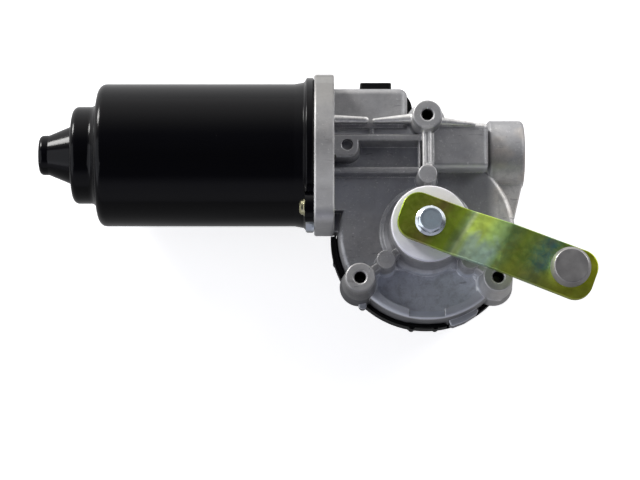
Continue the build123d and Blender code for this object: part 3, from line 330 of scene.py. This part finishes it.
def yellow_zinc():
    """Yellow-passivated zinc on a stamped steel bar: olive and yellow-green, with blue-green and violet-grey
    interference patches, and a painted highlight on its sloped part.
    """
    k = Mat("yellow_zinc", (0.35, 0.42, 0.06), 0.34, 0.9)
    v = k.map(rot=(0, 0, math.radians(20.7)))
    s, w, _ = k.xyz(v)
    wob = k.noise(80, 1.5, 0.5)
    sw = k.calc("ADD", s, k.range(wob, 0.2, 0.8, -0.0007, 0.0007))
    sw = k.calc("ADD", sw, k.calc("MULTIPLY", w, -0.22))
    fac = k.range(sw, -0.0124, 0.0714)
    # along the bar, from the hub to the ball; the bright yellow-green band on the sloped part and the pale line where
    # it starts are painted highlight
    col = k.ramp(fac, [
        (0.00, (0.30, 0.42, 0.030)),
        (0.09, (0.29, 0.34, 0.040)),
        (0.17, (0.33, 0.27, 0.075)),
        (0.22, (0.38, 0.53, 0.050)),
        (0.27, (0.48, 0.68, 0.060)),
        (0.300, (0.40, 0.60, 0.16)),
        (0.315, (0.46, 0.66, 0.30)),
        (0.326, (0.82, 1.00, 0.46)),
        (0.345, (0.76, 1.00, 0.15)),
        (0.40, (0.78, 1.00, 0.12)),
        (0.450, (0.56, 0.84, 0.20)),
        (0.490, (0.36, 0.56, 0.17)),
        (0.515, (0.22, 0.37, 0.11)),
        (0.55, (0.28, 0.44, 0.14)),
        (0.60, (0.34, 0.48, 0.07)),
        (0.645, (0.28, 0.44, 0.10)),
        (0.69, (0.17, 0.36, 0.22)),
        (0.735, (0.13, 0.31, 0.30)),
        (0.78, (0.22, 0.40, 0.12)),
        (0.86, (0.48, 0.57, 0.025)),
        (1.00, (0.56, 0.62, 0.025)),
    ])
    soft = k.range(k.noise(110, 3.0, 0.6, 0.6), 0.2, 0.8, -0.004, 0.004)
    ws = k.calc("ADD", w, soft)
    # on the sloped part, pale blue-green along the lower edge; past it, olive along the lower edge
    cool = k.calc("MULTIPLY", k.range(ws, 0.0035, -0.0035, 0.12, 1.0, True), k.range(sw, 0.0148, 0.0185))
    cool = k.calc("MULTIPLY", cool, k.range(sw, 0.0325, 0.0285))
    col = k.mix(k.calc("MULTIPLY", cool, 0.80), col, (0.46, 0.64, 0.60))
    warm = k.calc("MULTIPLY", k.range(ws, -0.0010, -0.0065, 0.0, 1.0, True), k.range(sw, 0.034, 0.038))
    col = k.mix(k.calc("MULTIPLY", warm, 0.65), col, (0.46, 0.52, 0.07))
    streak = k.noise(240, 3.0, 0.6, 0.3, k.map(scale=(0.22, 1, 1), vec=v))
    slope = k.calc("MULTIPLY", k.range(sw, 0.0140, 0.0158), k.range(sw, 0.0330, 0.0290))
    flat = k.range(slope, 0.0, 1.0, 1.0, 0.3)
    col = k.mix(k.calc("MULTIPLY", flat, k.range(streak, 0.50, 0.72, 0.0, 0.35)), col, (0.24, 0.36, 0.04))
    film = k.noise(420, 3.0, 0.65, 0.6)
    col = k.mix(k.calc("MULTIPLY", flat, k.range(film, 0.42, 0.72, 0.0, 0.30)), col, (0.66, 0.74, 0.14))
    rust = k.calc("MULTIPLY", k.range(k.noise(150, 3.0, 0.6, 1.0), 0.50, 0.75), k.calc("MULTIPLY", flat, 0.30))
    col = k.mix(rust, col, (0.36, 0.22, 0.06))
    # painted highlight: the bar's edges are lightened to a pale yellow
    edge = k.edges(0.0005)
    col = k.mix(k.calc("MULTIPLY", edge, 0.22), col, (0.72, 0.74, 0.50))
    drawn = k.noise(2200, 2.0, 0.5, 0.0, k.map(scale=(0.12, 1, 1), vec=v))
    rough = k.range(k.noise(300, 3.0, 0.6), 0.3, 0.7, 0.30, 0.42)
    n = k.bump(drawn, 0.08, 0.00005)
    n = k.bump(k.noise(900, 3.0, 0.6), 0.12, 0.0001, n)
    n = k.bump(k.noise(90, 2.0, 0.5), 0.12, 0.0006, n)
    return k.done(col, rough, n)


def plated(name, light, dark, rough=(0.18, 0.30), scale=1.0, tint=None, metal=1.0):
    """Bright zinc plate or bare ground steel, with a cloudy film, fine handling marks and a painted highlight on its
    edges.
    """
    k = Mat(name, light, rough[0], metal)
    film = k.noise(180 * scale, 3.0, 0.55, 0.5)
    col = k.mix(k.range(film, 0.35, 0.7), light, dark)
    if tint:
        col = k.mix(k.range(k.noise(90 * scale, 2.0, 0.5, 0.8), 0.5, 0.75, 0.0, 0.6), col, tint)
    mark = k.noise(1800 * scale, 2.0, 0.5)
    # painted highlight: edges are lightened to a brighter copy of the plate's colour
    edge = k.edges(0.0003)
    col = k.mix(k.calc("MULTIPLY", edge, 0.35), col, tuple(min(1.0, c * 1.4) for c in light))
    r = k.calc("ADD", k.range(film, 0.3, 0.7, rough[0], rough[1]), k.range(mark, 0.5, 0.8, 0.0, 0.06))
    n = k.bump(mark, 0.07, 0.00005)
    return k.done(col, r, n)


def turned(name, light, dark, rough, axis="x", metal=1.0):
    """Turned or ground metal: rings of tool marks around its axis."""
    k = Mat(name, light, rough[0], metal)
    scale = {"x": (1, 0.02, 0.02), "z": (0.02, 0.02, 1)}[axis]
    rings = k.noise(6000, 2.0, 0.6, 0.0, k.map(scale=scale))
    film = k.noise(220, 3.0, 0.5)
    col = k.mix(k.range(film, 0.3, 0.7), light, dark)
    n = k.bump(rings, 0.12, 0.00004)
    return k.done(col, k.range(rings, 0.3, 0.7, rough[0], rough[1]), n)


def moulded(name, colour, rough, grain=(1400, 0.12), spec=0.5, tone=0.25, sss=0.0):
    """Injection-moulded plastic or rubber: even colour with a faint flow cloud and the mould's grain."""
    k = Mat(name, colour, rough[0], 0.0)
    k.b.inputs["Specular IOR Level"].default_value = spec
    if sss:
        k.b.inputs["Subsurface Weight"].default_value = sss
        k.b.inputs["Subsurface Radius"].default_value = (0.002, 0.0018, 0.0016)
        k.b.inputs["Subsurface Scale"].default_value = 1.0
    flow = k.noise(38, 3.0, 0.5, 0.6)
    fine = k.noise(grain[0], 2.0, 0.55)
    dark = tuple(c * (1 - tone) for c in colour)
    col = k.mix(k.range(flow, 0.3, 0.7), dark, colour)
    scuff = k.range(k.noise(520, 3.0, 0.7, 0.5), 0.62, 0.78)
    light = tuple(min(1.0, c * 1.6 + 0.004) for c in colour)
    col = k.mix(k.calc("MULTIPLY", scuff, 0.35), col, light)
    r = k.calc("ADD", k.range(fine, 0.3, 0.7, rough[0], rough[1]), k.calc("MULTIPLY", scuff, 0.05))
    return k.done(col, r, k.bump(fine, grain[1], 0.00008))


def washer_white():
    """Natural nylon washer: cool white with a faint lavender cast and greasy grey smears, with painted shade making it
    darker and bluer towards -Y.
    """
    k = Mat("white_plastic", (0.78, 0.77, 0.83), 0.42, 0.0)
    k.b.inputs["Subsurface Weight"].default_value = 0.15
    k.b.inputs["Subsurface Radius"].default_value = (0.002, 0.002, 0.0022)
    k.b.inputs["Subsurface Scale"].default_value = 1.0
    y = k.xyz()[1]
    # painted shade: darker and bluer towards -Y
    side = k.range(y, 0.016, -0.018, 0.0, 1.0, True)
    col = k.mix(side, (0.93, 0.91, 0.95), (0.86, 0.87, 0.97))
    smear = k.range(k.noise(160, 3.0, 0.6, 0.7), 0.45, 0.75)
    col = k.mix(k.calc("MULTIPLY", smear, 0.16), col, (0.42, 0.42, 0.50))
    turn = k.noise(2500, 2.0, 0.5)
    return k.done(col, k.range(turn, 0.3, 0.7, 0.38, 0.50), k.bump(turn, 0.05, 0.00005))


def laminated():
    """A pack of steel laminations: fine lines across the motor axis."""
    k = Mat("lamination", (0.28, 0.28, 0.30), 0.5, 1.0)
    x = k.xyz()[0]
    line = k.calc("PINGPONG", x, 0.00025)
    line = k.range(line, 0.0, 0.00025)
    col = k.mix(line, (0.10, 0.10, 0.11), (0.34, 0.34, 0.36))
    col = k.mix(k.range(k.noise(300, 3.0), 0.5, 0.75, 0, 0.5), col, (0.22, 0.17, 0.13))
    return k.done(col, k.range(k.noise(900), 0.3, 0.7, 0.4, 0.6), k.bump(line, 0.3, 0.00008))


def wound():
    """Enamelled copper wire: fine strands with a gloss varnish."""
    k = Mat("copper", (0.62, 0.28, 0.12), 0.3, 1.0, Coat_Weight=0.5)
    strand = k.noise(5200, 1.5, 0.5, 0.0, k.map(scale=(0.06, 1, 1)))
    col = k.ramp(strand, [(0.3, (0.26, 0.09, 0.035)), (0.55, (0.66, 0.30, 0.13)), (0.8, (0.80, 0.45, 0.24))])
    return k.done(col, k.range(k.noise(500), 0.3, 0.7, 0.25, 0.42), k.bump(strand, 0.3, 0.0001))


def sintered(name, light, dark, rough=(0.4, 0.6), metal=1.0):
    """Pressed powder, bronze or ferrite or carbon: an open, speckled skin."""
    k = Mat(name, light, rough[0], metal)
    cell = k.voronoi(3200)
    speck = k.range(cell.outputs["Distance"], 0.1, 0.6)
    col = k.mix(speck, dark, light)
    col = k.mix(k.range(k.noise(200, 3.0), 0.4, 0.7, 0.0, 0.4), col, dark)
    return k.done(col, k.range(k.noise(1200), 0.3, 0.7, rough[0], rough[1]), k.bump(speck, 0.2, 0.00006))


def sheet_board():
    """Paper-phenolic board: brown with pressed fibres."""
    k = Mat("phenolic", (0.24, 0.13, 0.06), 0.5, 0.0)
    fibre = k.noise(1500, 4.0, 0.7, 1.2, k.map(scale=(0.2, 1, 1)))
    col = k.ramp(fibre, [(0.3, (0.13, 0.065, 0.028)), (0.6, (0.27, 0.15, 0.07)), (0.85, (0.36, 0.22, 0.11))])
    return k.done(col, k.range(fibre, 0.3, 0.7, 0.4, 0.6), k.bump(fibre, 0.12, 0.00006))


def bolt_zinc():
    """Blue-bright zinc on a hexagon flange bolt: dull blue-grey on the round face, pale on the flange, with painted
    shade on the flanks and a painted highlight on the edges.
    """
    k = Mat("bolt_zinc", (0.80, 0.85, 0.90), 0.22, 0.85)
    x, y, z = k.xyz()
    r = k.calc("SQRT", k.calc("ADD", k.calc("MULTIPLY", x, x), k.calc("MULTIPLY", y, y)))
    face = k.calc("MULTIPLY", k.range(z, 0.07660, 0.07675), k.range(r, 0.0048, 0.0045))
    film = k.noise(520, 3.0, 0.6, 0.6)
    col = k.mix(k.range(film, 0.35, 0.7), (0.74, 0.78, 0.82), (0.58, 0.65, 0.71))
    dull = k.mix(k.range(film, 0.35, 0.7), (0.66, 0.77, 0.84), (0.50, 0.62, 0.69))
    col = k.mix(face, col, dull)
    # painted shade: the flanks, which face sideways, are darkened against the pale flange
    flank = k.range(k.up(), 0.30, 0.15)
    col = k.mix(k.calc("MULTIPLY", flank, 0.55), col, (0.30, 0.36, 0.42))
    # painted highlight: edges are lightened towards white
    col = k.mix(k.calc("MULTIPLY", k.edges(0.0003), 0.45), col, (1.0, 1.0, 1.0))
    mark = k.noise(1900, 2.0, 0.5)
    return k.done(col, k.calc("ADD", k.range(film, 0.3, 0.7, 0.16, 0.28), k.calc("MULTIPLY", face, 0.14)), k.bump(mark, 0.10, 0.00005))


MATERIALS = {
    "black_paint": black_paint(),
    "cast_alloy": cast_alloy(),
    "yellow_zinc": yellow_zinc(),
    "bright_zinc": plated("bright_zinc", (0.90, 0.93, 0.95), (0.74, 0.79, 0.84), (0.26, 0.36), 1.0, (0.66, 0.76, 0.84), 0.62),
    "brass_zinc": plated("brass_zinc", (0.72, 0.70, 0.50), (0.58, 0.55, 0.34), (0.2, 0.3), 1.0, (0.70, 0.66, 0.36)),
    "bare_steel": plated("bare_steel", (0.56, 0.55, 0.54), (0.40, 0.39, 0.38), (0.26, 0.38), 1.0, (0.45, 0.40, 0.34)),
    "lamination": laminated(),
    "ferrite": sintered("ferrite", (0.09, 0.09, 0.10), (0.04, 0.04, 0.045), (0.5, 0.7), 0.0),
    "bronze": sintered("bronze", (0.62, 0.43, 0.20), (0.36, 0.22, 0.10)),
    "copper": wound(),
    "carbon": sintered("carbon", (0.05, 0.05, 0.052), (0.02, 0.02, 0.02), (0.5, 0.7), 0.0),
    "acetal": moulded("acetal", (0.80, 0.79, 0.74), (0.32, 0.42), (1800, 0.06), 0.5, 0.08, 0.1),
    "white_plastic": washer_white(),
    "black_plastic": moulded("black_plastic", (0.004, 0.004, 0.0045), (0.42, 0.56), (1700, 0.22), 0.14, 0.35),
    "phenolic": sheet_board(),
    "nbr": moulded("nbr", (0.018, 0.018, 0.018), (0.55, 0.70), (900, 0.18), 0.3, 0.3),
    "tin": plated("tin", (0.74, 0.74, 0.71), (0.60, 0.60, 0.56), (0.25, 0.38)),
}
MATERIALS["turned_steel"] = turned("turned_steel", (0.47, 0.46, 0.445), (0.34, 0.33, 0.32), (0.30, 0.46), "z", 0.78)
MATERIALS["bolt_zinc"] = bolt_zinc()

SLOT = {p["node"]: p["material_slot"] for p in frame["record"]["subparts"]}
TURNED_Z = ("output_shaft", "thrust_washer", "ball_stud")
for name, obj in NODES.items():
    mat = MATERIALS["bolt_zinc" if name == "crank_bolt" else "turned_steel" if name in TURNED_Z else SLOT[name]]
    obj.data.materials.clear()
    obj.data.materials.append(mat)
    for poly in obj.data.polygons:
        poly.material_index = 0


# ------------------------------------------------------------------ threads in the tapped holes
MOUNT_Z = 62.0
MOUNTS = ((-0.3, 47.5, 18.0), (-28.9, -22.0, 16.5), (28.5, -21.8, 15.0))   # place and depth of each tapped hole


def ridge(bm, x, y, z_low, z_high, r_root, r_crest, pitch, steps=40, hand=1):
    """One helical V ridge, closed at both ends, standing on a bore's wall and running out at its ends."""
    turns = (z_high - z_low) / pitch
    n = int(steps * turns)
    rings = []
    for i in range(n + 1):
        t = i / n
        a = hand * 2 * math.pi * turns * t
        z = z_low + (z_high - z_low) * t
        fade = min(1.0, i / (steps * 0.6), (n - i) / (steps * 0.6))
        r = r_root + (r_crest - r_root) * max(fade, 0.05)
        back = r_root + math.copysign(0.06, r_root - r_crest)
        h = pitch * 0.44
        flat = pitch * 0.07
        prof = ((back, z - h), (r_root, z - h), (r, z - flat), (r, z + flat), (r_root, z + h), (back, z + h))
        rings.append([bm.verts.new(((x + q * math.cos(a)) * MM, (y + q * math.sin(a)) * MM, w * MM)) for q, w in prof])
    m = len(rings[0])
    for a, b in zip(rings, rings[1:]):
        for j in range(m):
            bm.faces.new((a[j], a[(j + 1) % m], b[(j + 1) % m], b[j]))
    bm.faces.new(rings[0])
    bm.faces.new(rings[-1])


def mesh_piece(name, bm, body, material, smooth=40.0):
    bmesh.ops.recalc_face_normals(bm, faces=bm.faces)
    me = bpy.data.meshes.new(name)
    bm.to_mesh(me)
    bm.free()
    o = bpy.data.objects.new(name, me)
    C.scene.collection.objects.link(o)
    me.materials.append(material)
    for poly in me.polygons:
        poly.use_smooth = True
    me.set_sharp_from_angle(angle=math.radians(smooth))
    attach(o, body)
    return o


THREAD = turned("cut_thread", (0.20, 0.20, 0.205), (0.12, 0.12, 0.125), (0.30, 0.45), "z")
for tag, (mx, my, depth) in zip(("top", "left", "right"), MOUNTS):
    b = bmesh.new()
    ridge(b, mx, my, MOUNT_Z - depth + 1.2, MOUNT_Z - 1.6, 2.52, 2.22, 1.0)
    mesh_piece("thread_" + tag, b, "housing", THREAD)


# brush springs: each is held by the closed end of its guide
def spring_piece(tag, angle):
    bx, ym, zm = -58.6, 35.6, 35.0
    r_in, r_out, coil, wire, steps, turns = 19.86, 27.05, 1.7, 0.30, 20, 6.5
    a = math.radians(angle)
    out = Vector((0.0, math.cos(a), math.sin(a)))
    across = Vector((0.0, -math.sin(a), math.cos(a)))
    along = Vector((1.0, 0.0, 0.0))
    start = Vector((bx, ym, zm))
    n = int(steps * turns)
    line = []
    for i in range(n + 1):
        t = turns * i / n
        # a closed turn at each end, open turns between
        if t < 1.0:
            h = 0.62 * t
        elif t > turns - 1.0:
            h = (r_out - r_in) - 0.62 * (turns - t)
        else:
            h = 0.62 + (r_out - r_in - 1.24) * (t - 1.0) / (turns - 2.0)
        q = 2 * math.pi * t
        line.append(start + out * (r_in + h) + along * (coil * math.cos(q)) + across * (coil * math.sin(q)))
    bm = bmesh.new()
    rings = []
    for i, c in enumerate(line):
        d = (line[min(i + 1, n)] - line[max(i - 1, 0)]).normalized()
        u = (out - d * out.dot(d)).normalized()
        v = d.cross(u)
        rings.append([bm.verts.new((c + (u * math.cos(j * math.pi / 4) + v * math.sin(j * math.pi / 4)) * wire) * MM) for j in range(8)])
    for p, q in zip(rings, rings[1:]):
        for j in range(8):
            bm.faces.new((p[j], p[(j + 1) % 8], q[(j + 1) % 8], q[j]))
    bm.faces.new(rings[0])
    bm.faces.new(rings[-1])
    o = mesh_piece("spring_" + tag, bm, "housing", MATERIALS["bare_steel"])
    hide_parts("brush_spring_" + tag)
    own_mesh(o)
    return o


for tag, angle in (("low", 0.0), ("common", 180.0), ("high", 300.0)):
    spring_piece(tag, angle)


# ------------------------------------------------------------------ floor, world and lights
def plain_floor():
    bm = bmesh.new()
    r, n = 1.6, 96
    ring = [bm.verts.new((-0.045 + r * math.cos(2 * math.pi * i / n), r * math.sin(2 * math.pi * i / n), 0.0)) for i in range(n)]
    bm.faces.new(ring)
    me = bpy.data.meshes.new("floor")
    bm.to_mesh(me)
    bm.free()
    o = bpy.data.objects.new("floor", me)
    C.scene.collection.objects.link(o)
    k = Mat("floor_paper", (0.86, 0.86, 0.86), 0.9)
    tone = k.mix(k.range(k.noise(6, 3.0), 0.3, 0.7), (0.86, 0.86, 0.865), (0.88, 0.88, 0.88))
    # seen directly it is white paper; the light that it throws back up on the part falls off towards the front
    seen = k.t.nodes.new("ShaderNodeLightPath").outputs["Is Camera Ray"]
    back = k.range(k.xyz()[1], -0.07, 0.24, 0.14, 0.90, True)
    tone = k.mix(seen, (0.22, 0.22, 0.22), tone)
    glow = k.calc("ADD", k.calc("MULTIPLY", seen, FLOOR_GLOW), k.calc("MULTIPLY", k.calc("SUBTRACT", 1.0, seen), back))
    k.b.inputs["Emission Color"].default_value = (1, 1, 1, 1)
    k.put(k.b.inputs["Emission Strength"], glow)
    k.b.inputs["Specular IOR Level"].default_value = 0.0
    me.materials.append(k.done(tone))
    return o


FLOOR_GLOW = 0.74
plain_floor()

world = bpy.data.worlds.new("studio")
C.scene.world = world
world.use_nodes = True
wt = world.node_tree
bg = wt.nodes["Background"]


def world_light():
    """A dim tent: dark behind the camera, brighter towards the top of the picture, pale at the horizon."""
    w = Mat.__new__(Mat)
    w.t = wt
    co = wt.nodes.new("ShaderNodeTexCoord").outputs["Generated"]
    w.co = co
    x, y, z = w.xyz()
    # angle from the camera's side, in the plane across the motor's axis, signed towards the top of the picture
    c, s = math.cos(EL), math.sin(EL)
    toward = w.calc("ADD", w.calc("MULTIPLY", y, -c), w.calc("MULTIPLY", z, s))
    over = w.calc("ADD", w.calc("MULTIPLY", y, s), w.calc("MULTIPLY", z, c))
    a = w.calc("ARCTAN2", over, toward)
    fac = w.range(a, -math.pi, math.pi)

    def at(deg):
        return (deg + 180.0) / 360.0

    col = w.ramp(fac, [
        (at(-170), (0.90, 0.90, 0.90)),
        (at(-120), (0.26, 0.26, 0.28)),
        (at(-95), (0.30, 0.30, 0.33)),
        (at(-72), (0.55, 0.55, 0.60)),
        (at(-50), (0.50, 0.50, 0.58)),
        (at(-36), (0.085, 0.085, 0.115)),
        (at(0), (0.045, 0.045, 0.055)),
        (at(34), (0.08, 0.08, 0.10)),
        (at(48), (0.32, 0.32, 0.32)),
        (at(72), (0.95, 0.93, 0.92)),
        (at(100), (1.30, 1.28, 1.28)),
        (at(130), (1.50, 1.50, 1.50)),
        (at(170), (0.90, 0.90, 0.90)),
    ])
    w.put(bg.inputs["Color"], col)
    bg.inputs["Strength"].default_value = 1.0


world_light()


def softbox(name, place, size, power, colour=(1, 1, 1), look=None):
    d = bpy.data.lights.new(name, "AREA")
    d.shape = "RECTANGLE"
    d.size, d.size_y = size
    d.energy = power
    d.color = colour
    o = bpy.data.objects.new(name, d)
    C.scene.collection.objects.link(o)
    o.location = place
    o.rotation_euler = (Vector(look or TARGET) - Vector(place)).to_track_quat("-Z", "Y").to_euler()
    return o


softbox("soft_left", (-0.95, 0.90, 0.42), (0.34, 0.46), 16.5, (1.0, 0.99, 0.97))
softbox("soft_left_low", (-1.05, -0.20, 0.62), (1.1, 1.1), 5.5, (0.93, 0.95, 1.0))
softbox("soft_right", (0.85, 0.55, 0.75), (0.45, 0.6), 3.6, (0.97, 0.98, 1.0))
